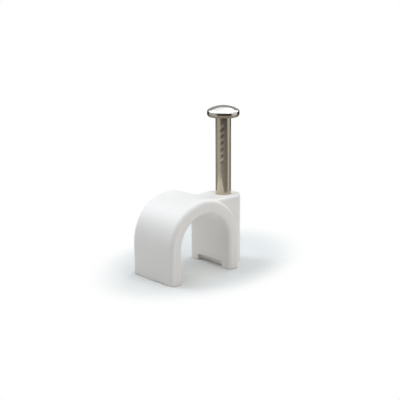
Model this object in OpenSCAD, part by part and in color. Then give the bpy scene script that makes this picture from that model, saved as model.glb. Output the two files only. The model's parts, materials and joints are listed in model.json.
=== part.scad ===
// Nail-in cable clip: a moulded saddle for one round cable, with a steel nail standing in its boss.
// The feet lie on Z = 0, the cable runs along Y, the nail is at +X and the origin is mid-width.

/* [Cable channel] */
// Diameter of the round cable that the saddle holds
cable_d = 8; // [6:0.5:14]
// Height of the cable's axis above the feet
axis_h = 4.15; // [3.5:0.05:8]
// Thickness of the saddle's wall
wall = 1.75; // [1.2:0.05:2.5]
// Length of the saddle along the cable
clip_len = 7.6; // [5.6:0.1:14]
// Rounding of the saddle's outer end edges
outer_edge_r = 0.5; // [0.15:0.05:0.6]
// Rounding of the channel's end edges
inner_edge_r = 0.45; // [0.1:0.05:0.5]

/* [Nail boss] */
// Plastic around the nail
boss_wall = 1.2; // [0.8:0.1:1.6]
// Plastic between the cable channel and the nail hole
nail_web = 1.5; // [1:0.1:3]
// Drop from the saddle's crown to the boss's flat top
boss_drop = 0.8; // [0.3:0.1:2]
// Rounding of the boss's top edge
boss_edge_r = 0.25; // [0.1:0.05:0.5]

/* [Relief pocket] */
// Height of the pocket at the foot of the nail-side leg
pocket_h = 0.8; // [0.4:0.1:1.2]
// Length of the pocket along the cable
pocket_len = 4.5; // [3:0.1:5.5]
// Depth of the pocket into the leg
pocket_depth = 0.6; // [0.3:0.1:0.9]

/* [Nail] */
// Diameter of the nail's shank
nail_d = 2; // [1.6:0.1:2.4]
// Radial clearance of the nail in its hole
nail_fit = 0.02; // [0.01:0.01:0.1]
// Length of the nail from its point to the top of its head
nail_len = 20; // [18:0.5:30]
// Height of the nail's point above the feet
tip_h = 0.6; // [0.2:0.1:2]
// Length of the four-sided point
point_len = 3; // [2:0.1:4]
// Diameter of the nail's head
head_d = 4.15; // [3.4:0.05:6]
// Height of the head's domed top above its rim
head_dome = 0.8; // [0.5:0.05:1.1]
// Straight height of the head's rim
head_rim = 0.25; // [0.1:0.05:0.6]
// Depth of the head's curved underside below its rim
head_under = 0.5; // [0.5:0.05:0.8]
// Rounding of the rim's upper edge
head_edge_r = 0.35; // [0.1:0.05:0.4]
// Rounding of the rim's lower edge
under_edge_r = 0.4; // [0.1:0.05:0.45]

/* [Grip marks] */
// Number of grip marks down each side of the shank
grip_count = 6; // [3:1:8]
// Spacing of the grip marks along the shank
grip_pitch = 0.85; // [0.6:0.05:1]
// Depth of a grip mark
grip_depth = 0.07; // [0.05:0.01:0.15]
// Radius of the wire-die ridge that presses a grip mark
grip_r = 0.2; // [0.15:0.01:0.3]
// Slant of the grip marks across the shank, in degrees
grip_slant = 35; // [0:5:45]
// Plain shank between the head and the first grip mark
grip_gap = 1.3; // [0.6:0.1:2]
// Turn of the nail about its own axis, in degrees
nail_turn = 30; // [0:5:90]

/* [Hidden] */
$fn = 96;
// Distance by which a cutting shape runs past the face that it opens
cut_over = 1;

channel_r = cable_d / 2;
saddle_r = channel_r + wall;
crown_h = axis_h + saddle_r;

hole_r = nail_d / 2 + nail_fit;
boss_r = nail_d / 2 + boss_wall;
boss_h = crown_h - boss_drop;
nail_x = channel_r + nail_web + hole_r;
// Middle of the width over the saddle's far wall and the boss or the nail's head
mid_x = (nail_x + max(boss_r, head_d / 2) - saddle_r) / 2;
// The boss is rooted at the middle of the saddle's wall
root_r = channel_r + wall / 2;

// The shank runs up to the lower edge of the head's rim
shank_len = nail_len - head_dome - head_rim;
head_base = shank_len - head_under;

// Radius of an arc of this rise that runs smoothly into a rounded edge about a centre at edge_x
function blend_r(edge_x, edge_r, rise) =
    (edge_x * edge_x + rise * rise - edge_r * edge_r) / (2 * (rise - edge_r));

// Cross-section of the saddle's wall, radius along X and the cable along Y, with rounded end edges
module wall_section() {
    half_len = clip_len / 2;
    outer_end = half_len - outer_edge_r;
    inner_end = half_len - inner_edge_r;
    core_w = wall - inner_edge_r - outer_edge_r;
    translate([channel_r + inner_edge_r, -half_len]) square([core_w, clip_len]);
    translate([channel_r, -inner_end]) square([wall / 2, 2 * inner_end]);
    translate([root_r, -outer_end]) square([wall / 2, 2 * outer_end]);
    for (side = [-1, 1]) {
        translate([channel_r + inner_edge_r, side * inner_end]) circle(r = inner_edge_r);
        translate([saddle_r - outer_edge_r, side * outer_end]) circle(r = outer_edge_r);
    }
}

// Half-round crown over two straight legs, all of one wall section
module saddle() {
    translate([0, 0, axis_h]) rotate([90, 0, 0]) rotate_extrude(angle = 180) wall_section();
    linear_extrude(height = axis_h) wall_section();
    mirror([1, 0, 0]) linear_extrude(height = axis_h) wall_section();
}

// Half of the boss's upright outline, with the top edge rounded
module boss_half_outline() {
    square([boss_r - boss_edge_r, boss_h]);
    square([boss_r, boss_h - boss_edge_r]);
    translate([boss_r - boss_edge_r, boss_h - boss_edge_r]) circle(r = boss_edge_r);
}

// Round column about the nail, with flat sides that run back into the saddle's wall
module boss() {
    translate([nail_x, 0, 0]) rotate_extrude() boss_half_outline();
    difference() {
        rotate([90, 0, 90]) linear_extrude(height = nail_x) {
            boss_half_outline();
            mirror([1, 0]) boss_half_outline();
        }
        translate([0, 0, axis_h]) rotate([90, 0, 0])
            cylinder(r = root_r, h = 2 * clip_len, center = true);
        translate([-cut_over, -clip_len, -cut_over])
            cube([root_r + cut_over, 2 * clip_len, axis_h + cut_over]);
    }
}

// Shallow pocket at the foot of the nail-side leg, open to the channel and to the feet's plane
module relief_pocket() {
    translate([channel_r - cut_over, -pocket_len / 2, -cut_over])
        cube([pocket_depth + cut_over, pocket_len, pocket_h + cut_over]);
}

// Moulded plastic saddle with its nail boss
module clip_body() {
    color([0.93, 0.93, 0.92]) translate([-mid_x, 0, 0]) difference() {
        union() {
            saddle();
            boss();
        }
        translate([nail_x, 0, -cut_over]) cylinder(r = hole_r, h = boss_h + 2 * cut_over);
        relief_pocket();
    }
}

// Wedge that leaves two opposite flats of the four-sided point
module point_wedge() {
    rotate([90, 0, 0]) linear_extrude(height = 2 * nail_d, center = true) polygon([
        [0, 0], [nail_d, 2 * point_len], [nail_d, nail_len], [-nail_d, nail_len], [-nail_d, 2 * point_len]
    ]);
}

// Round wire shank with a four-sided cut point
module shank() {
    intersection() {
        cylinder(d = nail_d, h = shank_len);
        point_wedge();
        rotate([0, 0, 90]) point_wedge();
    }
}

// Half outline of a shallow dome that runs into the rounded edge of the head's rim
module dome_half_outline(rise, edge_r) {
    edge_x = head_d / 2 - edge_r;
    dome_r = blend_r(edge_x, edge_r, rise);
    drop = dome_r - rise;
    intersection() {
        translate([0, -drop]) circle(r = dome_r);
        // The arc ends where the line from its centre passes the centre of the edge's rounding
        polygon([[0, 0], [edge_x, 0], [2 * edge_x, drop], [0, dome_r]]);
    }
    translate([edge_x, 0]) circle(r = edge_r);
}

// Domed head with a straight rim and a curved underside, turned about the shank's axis
module head() {
    translate([0, 0, shank_len]) rotate_extrude() {
        translate([0, head_rim]) dome_half_outline(head_dome, head_edge_r);
        square([head_d / 2, head_rim]);
        mirror([0, 1]) dome_half_outline(head_under, under_edge_r);
    }
}

// Slanted grooves that the wire die pressed into two opposite sides of the shank
module grip_marks() {
    groove_x = nail_d / 2 - grip_depth + grip_r;
    for (side = [0, 180], i = [0 : grip_count - 1]) {
        groove_z = head_base - grip_gap - i * grip_pitch;
        rotate([0, 0, side]) translate([groove_x, 0, groove_z])
            rotate([90 - grip_slant, 0, 0]) cylinder(r = grip_r, h = 2 * nail_d, center = true);
    }
}

// Plated steel wire nail
module nail() {
    color([0.66, 0.64, 0.6]) translate([nail_x - mid_x, 0, tip_h]) rotate([0, 0, nail_turn]) difference() {
        union() {
            shank();
            head();
        }
        grip_marks();
    }
}

clip_body();
nail();
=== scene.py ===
"""Nail-in cable clip: the moulded clip, its steel nail and a white studio stage."""
import json
import math

import bmesh
import bpy
from bpy.props import FloatProperty, FloatVectorProperty, IntProperty, PointerProperty
from mathutils import Matrix, Vector


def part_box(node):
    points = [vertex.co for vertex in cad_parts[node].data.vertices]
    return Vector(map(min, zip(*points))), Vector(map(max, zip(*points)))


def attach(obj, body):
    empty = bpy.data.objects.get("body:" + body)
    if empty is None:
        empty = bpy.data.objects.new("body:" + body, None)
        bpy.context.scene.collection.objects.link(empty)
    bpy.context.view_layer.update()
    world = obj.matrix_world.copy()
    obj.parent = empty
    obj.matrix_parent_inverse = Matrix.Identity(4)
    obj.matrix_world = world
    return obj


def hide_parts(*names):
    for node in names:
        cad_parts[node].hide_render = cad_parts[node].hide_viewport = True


bl_info = {
    "name": "Nail-in cable clip",
    "version": (1, 0, 0),
    "blender": (4, 5, 0),
    "location": "3D View > Sidebar > Cable clip",
    "description": "Dresses a moulded cable clip and its steel nail, on a white studio stage",
    "category": "Object",
}

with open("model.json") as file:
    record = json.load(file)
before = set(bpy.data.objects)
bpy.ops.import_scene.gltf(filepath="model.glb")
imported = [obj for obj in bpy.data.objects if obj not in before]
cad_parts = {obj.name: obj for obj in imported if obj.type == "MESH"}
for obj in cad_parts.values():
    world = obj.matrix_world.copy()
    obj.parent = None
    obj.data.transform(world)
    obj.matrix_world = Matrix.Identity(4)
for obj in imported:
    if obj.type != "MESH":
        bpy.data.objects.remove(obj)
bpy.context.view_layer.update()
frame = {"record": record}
BODY = "root"
MM = 0.001
# Distance within which vertices are one
MERGE_GAP = 1e-4 * MM

# The clip's own places, read from the frame
MOUNTS = {mount["name"]: mount for mount in frame["record"]["mounts"]}
CLIP_LOW, CLIP_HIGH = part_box("clip_body")
NAIL_LOW, NAIL_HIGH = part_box("nail")
CHANNEL_X, _, AXIS_Z = MOUNTS["cable_channel"]["pos_m"]
CHANNEL_R = MOUNTS["cable_channel"]["dims"]["r_mm"] * MM
SADDLE_R = CHANNEL_X - CLIP_LOW.x
NAIL_X = MOUNTS["nail_point"]["pos_m"][0]
BOSS_R = CLIP_HIGH.x - NAIL_X
HEAD_R = (NAIL_HIGH.x - NAIL_LOW.x) / 2


def linear(hex_colour):
    """Linear red, green and blue of an sRGB hex colour."""
    channels = [int(hex_colour[i:i + 2], 16) / 255 for i in (1, 3, 5)]
    return tuple(c / 12.92 if c <= 0.04045 else ((c + 0.055) / 1.055) ** 2.4 for c in channels)


def length(name, description, default_mm):
    """A property that holds a length, given in millimetres."""
    return FloatProperty(name=name, description=description, default=default_mm * MM,
                         min=0.0, precision=5, subtype="DISTANCE", unit="LENGTH")


def place_on_floor(name, description, x_mm, y_mm):
    """A property that holds a place on the floor, given in millimetres."""
    return FloatVectorProperty(name=name, description=description, default=(x_mm * MM, y_mm * MM, 0.0),
                               size=3, precision=5, subtype="TRANSLATION", unit="LENGTH")


def angle(name, description, degrees):
    """A property that holds an angle, given in degrees."""
    return FloatProperty(name=name, description=description, default=math.radians(degrees),
                         subtype="ANGLE", unit="ROTATION")


def slimness(name, description, default):
    """A property that holds the width of an oval over its length."""
    return FloatProperty(name=name, description=description, default=default, min=0.1, max=1.0)


def brightness(name, description, default):
    """A property that holds the strength of a light, where 1 is white."""
    return FloatProperty(name=name, description=description, default=default, min=0.0)


def power(name, description, watts):
    """A property that holds a lamp's power."""
    return FloatProperty(name=name, description=description, default=watts, min=0.0, precision=3,
                         subtype="POWER", unit="POWER")


def colour(name, description, hex_colour):
    """A property that holds a colour, given as sRGB hex."""
    return FloatVectorProperty(name=name, description=description, default=linear(hex_colour),
                               size=3, min=0.0, max=1.0, subtype="COLOR")


class ClipSettings(bpy.types.PropertyGroup):
    """Sizes and colours of the moulded clip."""
    outer_edge: length("Outer edge", "Rounding of the saddle's outer end edges", 0.5)
    inner_edge: length("Channel edge", "Rounding of the channel's end edges", 0.45)
    boss_drop: length("Boss drop", "Drop from the crown to the boss's flat top", 0.8)
    boss_edge: length("Boss edge", "Rounding of the boss's top edge", 0.25)
    hole_radius: length("Nail hole", "Radius of the nail hole", 1.02)
    pocket_height: length("Pocket height", "Height of the pocket at the nail-side foot", 0.8)
    pocket_half: length("Pocket half length", "Half of the pocket's length along the cable", 2.25)
    pocket_depth: length("Pocket depth", "Depth of the pocket into the leg", 0.6)
    skin: length("Skin mesh", "Spacing of the moulded skin's mesh", 0.09)
    soften: IntProperty(name="Soften", description="Passes that soften the moulded edges",
                        default=5, min=0, max=20)
    plastic: colour("Plastic", "Colour of the moulded plastic", "#F3EEEA")
    plastic_warm: colour("Plastic, warm", "Faint warm cast in the thicker plastic", "#F1EBE5")


class NailSettings(bpy.types.PropertyGroup):
    """Sizes and colours of the steel nail."""
    shank_radius: length("Shank radius", "Radius of the nail's shank", 1.0)
    head_dome: length("Head dome", "Height of the head's domed top above its rim", 0.8)
    head_rim: length("Head rim", "Straight height of the head's rim", 0.25)
    head_under: length("Head underside", "Depth of the head's underside below its rim", 0.5)
    head_edge: length("Head edge", "Rounding of the rim's upper edge", 0.35)
    under_edge: length("Lower edge", "Rounding of the rim's lower edge", 0.4)
    point: length("Point", "Length of the four-sided point", 3.0)
    grip_gap: length("Grip gap", "Plain shank between the head and the first grip mark", 1.3)
    grip_pitch: length("Grip pitch", "Spacing of the grip marks", 0.85)
    grip_depth: length("Grip depth", "Depth of the uppermost grip mark", 0.022)
    grip_width: length("Grip width", "Half width of a grip mark", 0.24)
    grip_reach: length("Grip reach", "Half length of a grip mark round the shank", 0.34)
    grip_count: IntProperty(name="Grip marks", description="Grip marks down each side",
                            default=6, min=0, max=12)
    grip_slant: angle("Grip slant", "Slant of the grip marks", 35)
    turn: angle("Turn", "Turn of the nail about its own axis", 30)
    steel: colour("Plating", "Colour of the plated wire", "#C4BBA8")
    steel_dull: colour("Dull plating", "Colour of the duller patches in the plating", "#B0A693")
    steel_bright: colour("Bright plating", "Colour of the polished head", "#DDDBD6")
    # Painted shade: colour given to every face of the nail that points down, the head's underside most of
    # all
    steel_under_painted_shade: colour("Underside", "Colour of the unpolished underside of the head", "#7A7263")


class StageSettings(bpy.types.PropertyGroup):
    """Camera, light and floor of the studio."""
    azimuth: angle("Azimuth", "Turn of the camera round the clip", -41.53)
    elevation: angle("Elevation", "Height of the camera as an angle", 14.98)
    roll: angle("Roll", "Tilt of the camera about its own axis", -0.4)
    distance: length("Distance", "Distance from the camera to the clip", 117.4)
    aim_height: length("Aim height", "Height of the point under the camera's axis", 8.0)
    aim_right: length("Aim right", "Sideways step of the camera's aim in the picture", 1.76)
    aim_up: length("Aim up", "Upward step of the camera's aim in the picture", 1.25)
    lens: FloatProperty(name="Lens", description="Focal length on a 36 mm sensor", default=83.68,
                        min=1.0, subtype="DISTANCE_CAMERA", unit="CAMERA")
    floor_colour: colour("Floor", "Colour of the studio floor", "#DCDBD8")
    # Painted light: the floor under the arch gets a lighter colour than the rest of the floor, standing in
    # for light that reaches in under the arch
    floor_under_painted_light: colour("Floor under", "Colour of the floor under the arch", "#F0EFEB")
    under_place: place_on_floor("Under, place", "Middle of the light patch under the arch", -2.8, -3.1)
    under_reach: length("Under, reach", "Radius beyond which the floor has its own colour", 6.0)
    # Painted shade: ovals where the floor shows its darker paper colour instead of plain white, one round
    # the clip and a painted shadow behind it
    shade_place: place_on_floor("Shade, place", "Middle of the floor's oval shade", 2.6, 1.8)
    shade_turn: angle("Shade, turn", "Turn of the oval shade", 13.5)
    shade_slim: slimness("Shade, slimness", "Width of the oval shade over its length", 0.67)
    shade_near: length("Shade, inner", "Half length within which the floor keeps its own shade", 10.3)
    shade_far: length("Shade, outer", "Half length beyond which the floor is plain white", 18.9)
    behind_place: place_on_floor("Behind, place", "Middle of the oval shade behind the clip", 10.0, 12.5)
    behind_turn: angle("Behind, turn", "Turn of the oval shade behind the clip", 48.5)
    behind_slim: slimness("Behind, slimness", "Width of that oval over its length", 0.5)
    behind_near: length("Behind, inner", "Half length within which that oval has the floor's shade", 8.0)
    behind_far: length("Behind, outer", "Half length at which that oval ends", 13.0)
    top_power: power("Top power", "Power of the softbox overhead", 0.74)
    back_power: power("Back power", "Power of the softbox behind the clip", 0.68)
    front_power: power("Front power", "Power of the softbox in front", 0.38)
    right_power: power("Right power", "Power of the softbox beside the nail", 0.44)
    cool: colour("Cool light", "Colour of the softboxes overhead, behind and beside", "#EFF8FF")
    plain: colour("Plain light", "Colour of the softbox in front", "#FCFEFF")
    fill: brightness("Fill", "Strength of the light from all round", 0.08)
    horizon: brightness("Horizon", "Brightness of the far room, seen in reflections", 0.5)
    tent: brightness("Tent", "Brightness of the white tent above, seen in reflections", 1.2)
    card_distance: length("Card distance", "Distance of the grey cards from the nail", 32.0)
    card_height: length("Card height", "Height of the cards that the shank mirrors", 12.5)
    flag_height: length("Flag height", "Height of the flags that the head's rim mirrors", 22.0)
    backdrop_height: length("Backdrop height", "Height of the grey backdrop that the dome mirrors", 45.0)


def add_node(tree, kind, settings=None, **sockets):
    """Adds a node, sets its properties and fills its sockets with values or links."""
    node = tree.nodes.new(kind)
    for key, value in (settings or {}).items():
        setattr(node, key, value)
    for key, value in sockets.items():
        socket = node.inputs[int(key[1:]) if key[1:].isdigit() else key.replace("_", " ")]
        if isinstance(value, bpy.types.NodeSocket):
            tree.links.new(value, socket)
        else:
            socket.default_value = value
    return node


def new_material(name):
    """An empty node material and its output node."""
    material = bpy.data.materials.new(name)
    material.use_nodes = True
    material.node_tree.nodes.clear()
    return material, material.node_tree, material.node_tree.nodes.new("ShaderNodeOutputMaterial")


def opaque(colour_value):
    """Red, green, blue and full alpha."""
    return (*colour_value, 1.0)


# Patterns in the plastic: their sizes, and the height and strength of the grain
CAST_SIZE = 3.0 * MM
POLISH_SIZE = 0.5 * MM
GRAIN_SIZE = 0.25 * MM
GRAIN_HEIGHT = 0.02 * MM
GRAIN_STRENGTH = 0.04
# Roughness from the best to the least polished part of the mould
PLASTIC_ROUGHNESS = (0.36, 0.5)
PLASTIC_IOR = 1.51
# Light that sinks into the plastic: its share, the relative reach of each colour and the depth
SUNK_SHARE = 0.25
SUNK_REACH = (1.0, 0.95, 0.9)
SUNK_DEPTH = 0.4 * MM


def moulded_polyethylene(settings):
    """White polyethylene from a polished steel mould: satin, a little translucent, faintly uneven."""
    material, tree, output = new_material("moulded_polyethylene")
    place = add_node(tree, "ShaderNodeTexCoord").outputs["Object"]
    # Cooling leaves a slow cast over a few millimetres
    cast = add_node(tree, "ShaderNodeTexNoise", Vector=place, Scale=1 / CAST_SIZE, Detail=2.0)
    tint = add_node(tree, "ShaderNodeMix", {"data_type": "RGBA"}, i0=cast.outputs["Fac"],
                    i6=opaque(settings.plastic), i7=opaque(settings.plastic_warm))
    # The mould's polish varies over half a millimetre
    polish = add_node(tree, "ShaderNodeTexNoise", Vector=place, Scale=1 / POLISH_SIZE, Detail=3.0)
    rough = add_node(tree, "ShaderNodeMapRange", Value=polish.outputs["Fac"], i3=PLASTIC_ROUGHNESS[0],
                     i4=PLASTIC_ROUGHNESS[1])
    # Skin grain of about 0.05 mm, drawn at 0.25 mm so that it shows
    grain = add_node(tree, "ShaderNodeTexNoise", Vector=place, Scale=1 / GRAIN_SIZE, Detail=2.0)
    bump = add_node(tree, "ShaderNodeBump", Height=grain.outputs["Fac"], Strength=GRAIN_STRENGTH,
                    Distance=GRAIN_HEIGHT)
    surface = add_node(tree, "ShaderNodeBsdfPrincipled", Base_Color=tint.outputs["Result"],
                       Roughness=rough.outputs["Result"], Normal=bump.outputs["Normal"],
                       IOR=PLASTIC_IOR, Subsurface_Weight=SUNK_SHARE, Subsurface_Radius=SUNK_REACH,
                       Subsurface_Scale=SUNK_DEPTH)
    tree.links.new(surface.outputs["BSDF"], output.inputs["Surface"])
    return material


# Patterns in the plated wire: the drawing lines, their height and strength, and the duller patches
LINE_GAP = 0.08 * MM
LINE_LENGTH = 4.0 * MM
LINE_HEIGHT = 0.02 * MM
LINE_STRENGTH = 0.12
PATCH_SIZE = 1.5 * MM
# Roughness from the smoothest to the roughest drawn wire, and of the head
WIRE_ROUGHNESS = (0.12, 0.26)
HEAD_ROUGHNESS = 0.1
# Height over which the shank's finish turns into the head's
NECK_BLEND = 0.2 * MM
# The z of the surface's normal where the painted shade on faces that point down begins and where it is full
PAINTED_SHADE_FALL = (-0.1, -0.45)


def plated_steel_wire(settings):
    """Drawn steel wire with a thin bright plating: fine lines down its length, duller patches, and painted
    shade on faces that point down.
    """
    material, tree, output = new_material("plated_steel_wire")
    place = add_node(tree, "ShaderNodeTexCoord").outputs["Object"]
    # Drawing lines about 0.08 mm apart and some 4 mm long
    along = add_node(tree, "ShaderNodeMapping", Vector=place,
                     Scale=(1 / LINE_GAP, 1 / LINE_GAP, 1 / LINE_LENGTH))
    lines = add_node(tree, "ShaderNodeTexNoise", Vector=along.outputs["Vector"], Scale=1.0, Detail=2.0)
    patches = add_node(tree, "ShaderNodeTexNoise", Vector=place, Scale=1 / PATCH_SIZE, Detail=3.0)
    wire = add_node(tree, "ShaderNodeMix", {"data_type": "RGBA"}, i0=patches.outputs["Fac"],
                    i6=opaque(settings.steel), i7=opaque(settings.steel_dull))
    # The heading die polishes the head down to its rim; every face that points down, the head's underside
    # and the point's flats among them, gets a darker colour as painted shade
    rim_high = NAIL_HIGH.z - settings.head_dome
    neck = rim_high - settings.head_rim - settings.head_under
    level = add_node(tree, "ShaderNodeSeparateXYZ", Vector=place).outputs["Z"]
    polished = add_node(tree, "ShaderNodeMapRange", Value=level, i1=rim_high - settings.head_rim,
                        i2=rim_high)
    headed = add_node(tree, "ShaderNodeMapRange", Value=level, i1=neck, i2=neck + NECK_BLEND)
    # Painted shade: the more a face points down, the darker its colour
    normal = add_node(tree, "ShaderNodeNewGeometry").outputs["Normal"]
    rise = add_node(tree, "ShaderNodeSeparateXYZ", Vector=normal).outputs["Z"]
    down = add_node(tree, "ShaderNodeMapRange", {"interpolation_type": "SMOOTHSTEP"}, Value=rise,
                    i1=PAINTED_SHADE_FALL[0], i2=PAINTED_SHADE_FALL[1])
    tint = add_node(tree, "ShaderNodeMix", {"data_type": "RGBA"}, i0=polished.outputs["Result"],
                    i6=wire.outputs["Result"], i7=opaque(settings.steel_bright))
    tint = add_node(tree, "ShaderNodeMix", {"data_type": "RGBA"}, i0=down.outputs["Result"],
                    i6=tint.outputs["Result"], i7=opaque(settings.steel_under_painted_shade))
    # The whole head is smoother than the drawn shank
    drawn = add_node(tree, "ShaderNodeMapRange", Value=lines.outputs["Fac"], i3=WIRE_ROUGHNESS[0],
                     i4=WIRE_ROUGHNESS[1])
    rough = add_node(tree, "ShaderNodeMix", i0=headed.outputs["Result"], i2=drawn.outputs["Result"],
                     i3=HEAD_ROUGHNESS)
    bump = add_node(tree, "ShaderNodeBump", Height=lines.outputs["Fac"], Strength=LINE_STRENGTH,
                    Distance=LINE_HEIGHT)
    surface = add_node(tree, "ShaderNodeBsdfPrincipled", Base_Color=tint.outputs["Result"],
                       Roughness=rough.outputs["Result"], Normal=bump.outputs["Normal"], Metallic=1.0)
    tree.links.new(surface.outputs["BSDF"], output.inputs["Surface"])
    return material


def as_object(bm, name):
    """Closes a bmesh into a new object at the origin."""
    bmesh.ops.remove_doubles(bm, verts=bm.verts, dist=MERGE_GAP)
    bmesh.ops.recalc_face_normals(bm, faces=bm.faces)
    mesh = bpy.data.meshes.new(name)
    bm.to_mesh(mesh)
    bm.free()
    obj = bpy.data.objects.new(name, mesh)
    bpy.context.scene.collection.objects.link(obj)
    return obj


def finish_piece(obj, material, node):
    """Gives a piece its material and smooth faces, and lets it stand for its CAD node."""
    obj.data.materials.clear()
    obj.data.materials.append(material)
    obj.data.polygons.foreach_set("use_smooth", [True] * len(obj.data.polygons))
    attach(obj, BODY)
    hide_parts(node)


def push_faces(bm, faces, step):
    """Extrudes faces by a step and returns the moved faces."""
    pushed = bmesh.ops.extrude_face_region(bm, geom=faces)["geom"]
    bmesh.ops.translate(bm, vec=step, verts=[g for g in pushed if isinstance(g, bmesh.types.BMVert)])
    return [g for g in pushed if isinstance(g, bmesh.types.BMFace)]


# Steps of a rounded edge, of the crown's half turn and of the boss's half turn
EDGE_STEPS = 6
CROWN_STEPS = 96
BOSS_STEPS = 48
# Sides of a round cutting tool
TOOL_SIDES = 96


def saddle(settings):
    """One wall section, pushed up the far leg, spun over the channel and pushed down the near leg."""
    bm = bmesh.new()
    wall = SADDLE_R - CHANNEL_R
    section = Matrix.Diagonal((wall, CLIP_HIGH.y - CLIP_LOW.y, 1.0, 1.0))
    section.translation = (CHANNEL_X - CHANNEL_R - wall / 2, 0.0, 0.0)
    bmesh.ops.create_grid(bm, x_segments=1, y_segments=1, size=0.5, matrix=section)
    middle_x = section.translation.x
    for edge, outside in ((settings.outer_edge, True), (settings.inner_edge, False)):
        corners = [v for v in bm.verts if (v.co.x < middle_x) == outside]
        bmesh.ops.bevel(bm, geom=corners, offset=edge, offset_type="OFFSET", segments=EDGE_STEPS,
                        profile=0.5, affect="VERTICES", material=-1)
    top = push_faces(bm, list(bm.faces), (0.0, 0.0, AXIS_Z))
    spun = bmesh.ops.spin(bm, geom=top, cent=(CHANNEL_X, 0.0, AXIS_Z), axis=(0.0, 1.0, 0.0),
                          angle=math.pi, steps=CROWN_STEPS)["geom_last"]
    last = [g for g in spun if isinstance(g, bmesh.types.BMFace)]
    push_faces(bm, last, (0.0, 0.0, -AXIS_Z))
    inside = [f for f in bm.faces if all(len(e.link_faces) > 2 for e in f.edges)]
    bmesh.ops.delete(bm, geom=inside, context="FACES")
    return as_object(bm, "moulded_clip")


def boss(settings):
    """Round column about the nail, with flat sides that run back into the saddle's wall."""
    bm = bmesh.new()
    start = bmesh.ops.create_vert(bm, co=(NAIL_X, -BOSS_R, 0.0))["vert"]
    bmesh.ops.spin(bm, geom=start, cent=(NAIL_X, 0.0, 0.0), axis=(0.0, 0.0, 1.0), angle=math.pi,
                   steps=BOSS_STEPS)
    back = bmesh.ops.extrude_vert_indiv(bm, verts=[v for v in bm.verts if len(v.link_edges) == 1])
    for vert in back["verts"]:
        vert.co.x = CHANNEL_X
    bmesh.ops.contextual_create(bm, geom=back["verts"])
    bmesh.ops.contextual_create(bm, geom=bm.edges)
    top = push_faces(bm, list(bm.faces), (0.0, 0.0, CLIP_HIGH.z - settings.boss_drop))
    rim = {e for f in top for e in f.edges}
    bmesh.ops.bevel(bm, geom=list(rim), offset=settings.boss_edge, offset_type="OFFSET",
                    segments=EDGE_STEPS, profile=0.5, affect="EDGES", material=-1)
    return as_object(bm, "boss_blank")


def cutter_cylinder(name, radius, depth, place):
    """Round cutting tool, with its axis along Z before it is placed."""
    bm = bmesh.new()
    bmesh.ops.create_cone(bm, cap_ends=True, segments=TOOL_SIDES, radius1=radius, radius2=radius,
                          depth=depth, matrix=place)
    return as_object(bm, name)


def cutter_block(name, low, high):
    """Square cutting tool between two corners."""
    low, high = Vector(low), Vector(high)
    place = Matrix.Diagonal((*(high - low), 1.0))
    place.translation = (low + high) / 2
    bm = bmesh.new()
    bmesh.ops.create_cube(bm, size=1.0, matrix=place)
    return as_object(bm, name)


def combine(obj, tool, operation):
    """Joins or cuts an object with a tool, and removes the tool."""
    modifier = obj.modifiers.new(operation, "BOOLEAN")
    modifier.operation = operation
    modifier.solver = "EXACT"
    modifier.object = tool
    apply_modifiers(obj)
    bpy.data.objects.remove(tool)


def apply_modifiers(obj):
    """Bakes an object's modifiers into its mesh."""
    graph = bpy.context.evaluated_depsgraph_get()
    mesh = bpy.data.meshes.new_from_object(obj.evaluated_get(graph))
    obj.modifiers.clear()
    obj.data = mesh


def moulded_skin(obj, settings):
    """Even skin over the cut shape, with every edge softened as a mould leaves it."""
    modifier = obj.modifiers.new("skin", "REMESH")
    modifier.mode = "VOXEL"
    modifier.voxel_size = settings.skin
    apply_modifiers(obj)
    bm = bmesh.new()
    bm.from_mesh(obj.data)
    for _ in range(settings.soften):
        bmesh.ops.smooth_vert(bm, verts=bm.verts, factor=0.5, use_axis_x=True, use_axis_y=True,
                              use_axis_z=True)
    bm.to_mesh(obj.data)
    bm.free()


class CABLECLIP_OT_body(bpy.types.Operator):
    """Models the moulded clip over its CAD node."""
    bl_idname = "cableclip.body"
    bl_label = "Moulded clip"

    def execute(self, context):
        settings = context.scene.cable_clip
        # The clip's height, which takes the cutting tools past its sides and feet
        over = CLIP_HIGH.z
        piece = saddle(settings)
        blank = boss(settings)
        hollow = cutter_cylinder("channel_tool", (CHANNEL_R + SADDLE_R) / 2, 4 * over,
                                 Matrix.Translation((CHANNEL_X, 0.0, AXIS_Z))
                                 @ Matrix.Rotation(math.pi / 2, 4, "X"))
        combine(blank, hollow, "DIFFERENCE")
        reach = CHANNEL_X + (CHANNEL_R + SADDLE_R) / 2
        combine(blank, cutter_block("leg_tool", (-over, -over, -over), (reach, over, AXIS_Z)), "DIFFERENCE")
        combine(piece, blank, "UNION")
        hole = cutter_cylinder("hole_tool", settings.hole_radius, 4 * over,
                               Matrix.Translation((NAIL_X, 0.0, 0.0)))
        combine(piece, hole, "DIFFERENCE")
        half = settings.pocket_half
        pocket_end = CHANNEL_X + CHANNEL_R + settings.pocket_depth
        combine(piece, cutter_block("pocket_tool", (CHANNEL_X, -half, -over),
                                    (pocket_end, half, settings.pocket_height)), "DIFFERENCE")
        moulded_skin(piece, settings)
        finish_piece(piece, moulded_polyethylene(settings), "clip_body")
        return {"FINISHED"}


# Steps of the head's dome, of its other arcs and of the nail's full turn
DOME_STEPS = 20
ARC_STEPS = 10
NAIL_STEPS = 96
# Height of the shank's rows, close enough for the grip marks to bend the surface
ROW_HEIGHT = 0.05 * MM
# Distance within which the copies of the nail's two poles become one vertex each
POLE_GAP = 1e-3 * MM


def blend_radius(edge_x, edge, rise):
    """Radius of an arc of this rise that runs smoothly into a rounded edge about a centre at edge_x."""
    return (edge_x ** 2 + rise ** 2 - edge ** 2) / (2 * (rise - edge))


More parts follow.
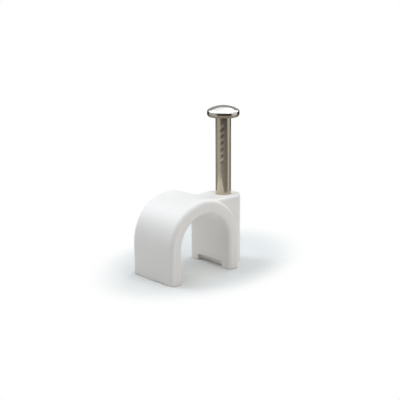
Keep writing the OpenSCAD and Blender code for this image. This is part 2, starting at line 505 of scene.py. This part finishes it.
def arc_on(bm, vert, arcs):
    """Carries an outline on from a vertex through arcs in the XZ plane, and returns its last vertex."""
    end = [vert]
    for centre_x, centre_z, turn, steps in arcs:
        end = bmesh.ops.spin(bm, geom=end, cent=(centre_x, 0.0, centre_z), axis=(0.0, 1.0, 0.0),
                             angle=turn, steps=steps)["geom_last"]
    return next(g for g in end if isinstance(g, bmesh.types.BMVert))


def run_to(bm, vert, **place):
    """Carries an outline on from a vertex in a straight line, to the given x or z."""
    end = bmesh.ops.extrude_vert_indiv(bm, verts=[vert])["verts"][0]
    for axis, value in place.items():
        setattr(end.co, axis, value)
    return end


def nail_outline(bm, settings):
    """Half outline of the nail in the XZ plane, from its top to its foot.

    Returns the height of the head's lowest edge.
    """
    edge_x, under_x = HEAD_R - settings.head_edge, HEAD_R - settings.under_edge
    rim_high = NAIL_HIGH.z - settings.head_dome
    rim_low = rim_high - settings.head_rim
    dome_r = blend_radius(edge_x, settings.head_edge, settings.head_dome)
    under_r = blend_radius(under_x, settings.under_edge, settings.head_under)
    dome_turn = math.asin(edge_x / (dome_r - settings.head_edge))
    under_turn = math.asin(under_x / (under_r - settings.under_edge))
    neck_turn = math.asin(settings.shank_radius / under_r)
    # Dome and upper edge, then lower edge and underside, each arc as its centre's x and z, turn and steps
    upper = ((0.0, NAIL_HIGH.z - dome_r, dome_turn, DOME_STEPS),
             (edge_x, rim_high, math.pi / 2 - dome_turn, ARC_STEPS))
    lower = ((under_x, rim_low, math.pi / 2 - under_turn, ARC_STEPS),
             (0.0, rim_low - settings.head_under + under_r, under_turn - neck_turn, ARC_STEPS))
    crown = bmesh.ops.create_vert(bm, co=(0.0, 0.0, NAIL_HIGH.z))["vert"][0]
    rim = run_to(bm, arc_on(bm, crown, upper), z=rim_low)
    neck = arc_on(bm, rim, lower)
    foot = run_to(bm, neck, z=NAIL_LOW.z)
    side = foot.link_edges[0]
    run_to(bm, foot, x=0.0)
    rows = int((neck.co.z - NAIL_LOW.z) / ROW_HEIGHT)
    bmesh.ops.subdivide_edges(bm, edges=[side], cuts=rows)
    return rim_low - settings.head_under


def cut_point(bm, settings):
    """Cuts the four flats of the point and closes each cut."""
    slope = Vector((settings.point, 0.0, -settings.shank_radius)).normalized()
    for quarter in range(4):
        normal = Matrix.Rotation(quarter * math.pi / 2, 3, "Z") @ slope
        cut = bmesh.ops.bisect_plane(bm, geom=[*bm.verts, *bm.edges, *bm.faces], dist=MERGE_GAP,
                                     plane_co=(0.0, 0.0, NAIL_LOW.z), plane_no=normal, clear_outer=True)
        bmesh.ops.edgeloop_fill(bm, edges=[g for g in cut["geom_cut"] if isinstance(g, bmesh.types.BMEdge)])


# Steepness of a grip mark's upper and lower wall
GRIP_WALLS = (1.25, 0.85)
# Growth of the depth from one grip mark to the next below, as a share of the uppermost
GRIP_GROWTH = 0.23
# Distance from the shank's radius within which a vertex lies on the shank
SHANK_GAP = 0.01 * MM


def press_grips(bm, settings, head_base):
    """Presses slanted grip marks into two opposite sides of the shank, steep above and easy below."""
    sine, cosine = math.sin(settings.grip_slant), math.cos(settings.grip_slant)
    first = head_base - settings.grip_gap
    marks = [first - i * settings.grip_pitch for i in range(settings.grip_count)]
    for vert in bm.verts:
        radius = vert.co.xy.length
        if abs(radius - settings.shank_radius) > SHANK_GAP or not marks:
            continue
        turn = math.atan2(vert.co.y, vert.co.x)
        turn = min((turn, turn - math.pi, turn + math.pi), key=abs)
        arc = turn * radius
        fade = math.exp(-(arc / settings.grip_reach) ** 4)
        sink = 0.0
        for i, mark_z in enumerate(marks):
            off = ((vert.co.z - mark_z) * cosine - arc * sine) / settings.grip_width
            sink += (1 + GRIP_GROWTH * i) * math.exp(-(off * GRIP_WALLS[off < 0]) ** 2)
        vert.co.xy *= 1 - settings.grip_depth * fade * sink / radius


class CABLECLIP_OT_nail(bpy.types.Operator):
    """Models the steel nail over its CAD node."""
    bl_idname = "cableclip.nail"
    bl_label = "Steel nail"

    def execute(self, context):
        settings = context.scene.cable_clip_nail
        bm = bmesh.new()
        head_base = nail_outline(bm, settings)
        bmesh.ops.spin(bm, geom=[*bm.verts, *bm.edges], cent=(0.0, 0.0, 0.0), axis=(0.0, 0.0, 1.0),
                       angle=2 * math.pi, steps=NAIL_STEPS, use_merge=True)
        bmesh.ops.remove_doubles(bm, verts=bm.verts, dist=POLE_GAP)
        press_grips(bm, settings, head_base)
        cut_point(bm, settings)
        bmesh.ops.rotate(bm, verts=bm.verts, cent=(0.0, 0.0, 0.0),
                         matrix=Matrix.Rotation(settings.turn, 3, "Z"))
        bmesh.ops.translate(bm, verts=bm.verts, vec=(NAIL_X, 0.0, 0.0))
        piece = as_object(bm, "steel_nail")
        finish_piece(piece, plated_steel_wire(settings), "nail")
        return {"FINISHED"}


# Radius of the round floor in metres, and its sides
FLOOR_RADIUS = 1.5
FLOOR_SIDES = 96


def oval_fade(tree, place, middle, turn, slim, near, far):
    """Fade from 0 inside an oval on the floor to 1 outside it."""
    oval = add_node(tree, "ShaderNodeMapping", {"vector_type": "TEXTURE"}, Vector=place, Location=middle,
                    Rotation=(0.0, 0.0, turn), Scale=(1.0, slim, 1.0))
    away = add_node(tree, "ShaderNodeVectorMath", {"operation": "LENGTH"}, i0=oval.outputs["Vector"])
    fade = add_node(tree, "ShaderNodeMapRange", {"interpolation_type": "SMOOTHSTEP"},
                    Value=away.outputs["Value"], i1=near, i2=far)
    return fade.outputs["Result"]


def studio_floor(settings):
    """Wide white floor with painted shade: inside soft ovals round and behind the clip it shows its darker
    paper colour with the lamps' real shading, and away from them it fades to plain white.
    """
    bm = bmesh.new()
    bmesh.ops.create_circle(bm, cap_ends=True, segments=FLOOR_SIDES, radius=FLOOR_RADIUS)
    floor = as_object(bm, "studio_floor")
    material, tree, output = new_material("white_floor")
    place = add_node(tree, "ShaderNodeTexCoord").outputs["Object"]
    # Painted shade: the floor keeps its darker paper colour inside an oval round the clip and a painted
    # shadow oval behind it, and turns plain white outside both
    round_clip = oval_fade(tree, place, settings.shade_place, settings.shade_turn, settings.shade_slim,
                           settings.shade_near, settings.shade_far)
    behind = oval_fade(tree, place, settings.behind_place, settings.behind_turn, settings.behind_slim,
                       settings.behind_near, settings.behind_far)
    fade = add_node(tree, "ShaderNodeMath", {"operation": "MULTIPLY"}, i0=round_clip, i1=behind)
    # The camera, mirrors and glass see the white, and all other light meets the floor's own shade
    ray = add_node(tree, "ShaderNodeLightPath").outputs
    seen = add_node(tree, "ShaderNodeMath", {"operation": "MAXIMUM"}, i0=ray["Is Camera Ray"],
                    i1=ray["Is Glossy Ray"])
    seen = add_node(tree, "ShaderNodeMath", {"operation": "MAXIMUM"}, i0=seen.outputs[0],
                    i1=ray["Is Transmission Ray"])
    share = add_node(tree, "ShaderNodeMath", {"operation": "MULTIPLY"}, i0=seen.outputs[0],
                     i1=fade.outputs[0])
    # Painted light: a lighter patch of floor round a point under the arch, fading to the floor's own colour
    # at its reach
    out = add_node(tree, "ShaderNodeVectorMath", {"operation": "DISTANCE"}, i0=place,
                   i1=settings.under_place)
    outer = add_node(tree, "ShaderNodeMapRange", {"interpolation_type": "SMOOTHSTEP"},
                     Value=out.outputs["Value"], i1=0.0, i2=settings.under_reach)
    shade = add_node(tree, "ShaderNodeMix", {"data_type": "RGBA"}, i0=outer.outputs["Result"],
                     i6=opaque(settings.floor_under_painted_light), i7=opaque(settings.floor_colour))
    paper = add_node(tree, "ShaderNodeBsdfDiffuse", Color=shade.outputs["Result"])
    white = add_node(tree, "ShaderNodeEmission", Strength=1.0)
    mixed = add_node(tree, "ShaderNodeMixShader", i0=share.outputs[0], i1=paper.outputs[0],
                     i2=white.outputs[0])
    tree.links.new(mixed.outputs[0], output.inputs["Surface"])
    floor.data.materials.append(material)


# Stops round the ring of grey cards: azimuth in degrees from +X and brightness there
CARDS = ((-178, 0.45), (-85, 0.22), (-66, 0.45), (-54, 1.0), (-46, 1.0), (-36, 0.5), (-10, 0.36), (4, 0.36),
         (14, 0.03), (84, 0.03), (94, 0.45), (110, 0.5), (160, 0.7), (178, 0.9))
# The dark and light flags above the cards, in the same form
FLAGS = ((-179, 0.3), (-170, 0.05), (-80, 0.05), (-66, 0.8), (-26, 0.8), (-14, 0.02), (104, 0.02),
         (116, 0.55), (166, 0.55), (179, 0.3))
# Brightness of the backdrop above the flags, and the azimuths between which it stands
BACKDROP_LEVEL = 0.36
BACKDROP_SIDES = (0, 100)
# Sides of the ring of cards, and half the height over which one row runs into the next
CARD_SIDES = 120
CARD_BLEND = MM


def level_ramp(tree, turn, stops):
    """Grey level round the nail, from stops that give an azimuth in degrees and a brightness."""
    node = add_node(tree, "ShaderNodeValToRGB", Fac=turn)
    ramp = node.color_ramp
    for azimuth, level in stops:
        ramp.elements.new((azimuth + 180) / 360).color = (level, level, level, 1.0)
    # The ramp starts with a black and a white stop at its ends
    ramp.elements.remove(ramp.elements[0])
    ramp.elements.remove(ramp.elements[-1])
    return node.outputs["Color"]


def reflection_cards(settings):
    """Ring of grey cards round the nail, with flags above and a backdrop, seen only in reflections."""
    bm = bmesh.new()
    centre = Matrix.Translation((NAIL_X, 0.0, 0.0))
    bmesh.ops.create_circle(bm, segments=CARD_SIDES, radius=settings.card_distance, matrix=centre)
    for edge in list(bm.edges):
        middle = (edge.verts[0].co + edge.verts[1].co) / 2
        azimuth = math.degrees(math.atan2(middle.y, middle.x - NAIL_X))
        behind = BACKDROP_SIDES[0] < azimuth < BACKDROP_SIDES[1]
        top = settings.backdrop_height if behind else settings.flag_height
        raised = bmesh.ops.extrude_edge_only(bm, edges=[edge])["geom"]
        for vert in (g for g in raised if isinstance(g, bmesh.types.BMVert)):
            vert.co.z = top
    cards = as_object(bm, "studio_cards")
    material, tree, output = new_material("grey_card")
    place = add_node(tree, "ShaderNodeTexCoord").outputs["Object"]
    round_nail = add_node(tree, "ShaderNodeMapping", Vector=place, Location=(-NAIL_X, 0.0, 0.0))
    azimuth = add_node(tree, "ShaderNodeTexGradient", {"gradient_type": "RADIAL"},
                       Vector=round_nail.outputs["Vector"])
    cards_level = level_ramp(tree, azimuth.outputs["Fac"], CARDS)
    flags_level = level_ramp(tree, azimuth.outputs["Fac"], FLAGS)
    height = add_node(tree, "ShaderNodeSeparateXYZ", Vector=place).outputs["Z"]
    flag = add_node(tree, "ShaderNodeMapRange", Value=height, i1=settings.card_height - CARD_BLEND,
                    i2=settings.card_height + CARD_BLEND)
    level = add_node(tree, "ShaderNodeMix", {"data_type": "RGBA"}, i0=flag.outputs["Result"],
                     i6=cards_level, i7=flags_level)
    backdrop = add_node(tree, "ShaderNodeMapRange", Value=height, i1=settings.flag_height - CARD_BLEND,
                        i2=settings.flag_height + CARD_BLEND)
    level = add_node(tree, "ShaderNodeMix", {"data_type": "RGBA"}, i0=backdrop.outputs["Result"],
                     i6=level.outputs["Result"], i7=opaque([BACKDROP_LEVEL] * 3))
    glow = add_node(tree, "ShaderNodeEmission", Color=level.outputs["Result"])
    tree.links.new(glow.outputs[0], output.inputs["Surface"])
    cards.data.materials.append(material)
    for kind in ("camera", "diffuse", "transmission", "volume_scatter", "shadow"):
        setattr(cards, "visible_" + kind, False)


# Name, place and side of each softbox in metres, and the setting that holds its colour
SOFTBOXES = (
    ("top", (0.0, 0.0, 0.35), 0.3, "cool"),
    ("back", (-0.1, 0.25, 0.25), 0.25, "cool"),
    ("front", (0.05, -0.27, 0.23), 0.25, "plain"),
    ("right", (0.28, 0.05, 0.22), 0.25, "cool"),
)


def softbox(name, place, size, energy, tint):
    """Square area lamp that looks at the clip."""
    lamp = bpy.data.lights.new(name, "AREA")
    lamp.size = size
    lamp.energy = energy
    lamp.color = tint
    obj = bpy.data.objects.new(name, lamp)
    obj.location = place
    obj.rotation_euler = (-Vector(place)).to_track_quat("-Z", "Y").to_euler()
    bpy.context.scene.collection.objects.link(obj)


# The z of the direction looked in where the tent starts and where it is full
TENT_EDGE = (0.05, 0.25)


def studio_world(settings):
    """Even light from all round, plain white behind the clip, and a white tent seen in reflections."""
    world = bpy.data.worlds.new("studio")
    world.use_nodes = True
    tree = world.node_tree
    tree.nodes.clear()
    ray = add_node(tree, "ShaderNodeLightPath").outputs
    way = add_node(tree, "ShaderNodeTexCoord").outputs["Generated"]
    rise = add_node(tree, "ShaderNodeSeparateXYZ", Vector=way).outputs["Z"]
    tent = add_node(tree, "ShaderNodeMapRange", {"interpolation_type": "SMOOTHSTEP"}, Value=rise,
                    i1=TENT_EDGE[0], i2=TENT_EDGE[1], i3=settings.horizon, i4=settings.tent)
    lit = add_node(tree, "ShaderNodeMapRange", Value=ray["Is Glossy Ray"], i3=settings.fill,
                   i4=tent.outputs["Result"])
    strength = add_node(tree, "ShaderNodeMapRange", Value=ray["Is Camera Ray"], i3=lit.outputs["Result"],
                        i4=1.0)
    light = add_node(tree, "ShaderNodeBackground", Color=(1.0, 1.0, 1.0, 1.0),
                     Strength=strength.outputs["Result"])
    output = tree.nodes.new("ShaderNodeOutputWorld")
    tree.links.new(light.outputs[0], output.inputs["Surface"])
    bpy.context.scene.world = world


# Width of the camera's sensor in millimetres, and the nearest and farthest that it sees in metres
SENSOR_WIDTH = 36.0
SIGHT = (0.001, 10.0)


def studio_camera(settings):
    """Camera at the photograph's angle."""
    a, e = settings.azimuth, settings.elevation
    back = Vector((math.sin(a) * math.cos(e), -math.cos(a) * math.cos(e), math.sin(e)))
    roll = Matrix.Rotation(settings.roll, 3, "Z")
    turn = (-back).to_track_quat("-Z", "Y").to_matrix() @ roll
    camera = bpy.data.cameras.new("photo_camera")
    camera.lens = settings.lens
    camera.sensor_width = SENSOR_WIDTH
    camera.clip_start, camera.clip_end = SIGHT
    obj = bpy.data.objects.new("photo_camera", camera)
    clip = Vector((CHANNEL_X, 0.0, settings.aim_height))
    obj.location = clip + back * settings.distance
    # The clip stands a little left of and below the middle of the picture
    aim = clip + turn @ Vector((settings.aim_right, settings.aim_up, 0.0))
    obj.rotation_euler = ((aim - obj.location).to_track_quat("-Z", "Y").to_matrix() @ roll).to_euler()
    bpy.context.scene.collection.objects.link(obj)
    bpy.context.scene.camera = obj


class CABLECLIP_OT_stage(bpy.types.Operator):
    """Sets up the floor, the light and the camera."""
    bl_idname = "cableclip.stage"
    bl_label = "Studio stage"

    def execute(self, context):
        settings = context.scene.cable_clip_stage
        studio_floor(settings)
        for name, place, size, tint in SOFTBOXES:
            energy = getattr(settings, name + "_power")
            softbox("softbox_" + name, place, size, energy, getattr(settings, tint))
        reflection_cards(settings)
        studio_world(settings)
        studio_camera(settings)
        context.scene.view_settings.view_transform = "Standard"
        return {"FINISHED"}


class CABLECLIP_PT_panel(bpy.types.Panel):
    """Lists the clip's pieces and its stage."""
    bl_idname = "CABLECLIP_PT_panel"
    bl_label = "Cable clip"
    bl_space_type = "VIEW_3D"
    bl_region_type = "UI"
    bl_category = "Cable clip"

    def draw(self, context):
        for operator in OPERATORS:
            self.layout.operator(operator.bl_idname)


OPERATORS = (CABLECLIP_OT_body, CABLECLIP_OT_nail, CABLECLIP_OT_stage)
CLASSES = (ClipSettings, NailSettings, StageSettings, *OPERATORS, CABLECLIP_PT_panel)


def register():
    for cls in CLASSES:
        bpy.utils.register_class(cls)
    bpy.types.Scene.cable_clip = PointerProperty(type=ClipSettings)
    bpy.types.Scene.cable_clip_nail = PointerProperty(type=NailSettings)
    bpy.types.Scene.cable_clip_stage = PointerProperty(type=StageSettings)


def unregister():
    del bpy.types.Scene.cable_clip_stage
    del bpy.types.Scene.cable_clip_nail
    del bpy.types.Scene.cable_clip
    for cls in reversed(CLASSES):
        bpy.utils.unregister_class(cls)


def main():
    register()
    bpy.ops.cableclip.body()
    bpy.ops.cableclip.nail()
    bpy.ops.cableclip.stage()


if __name__ == "__main__":
    main()
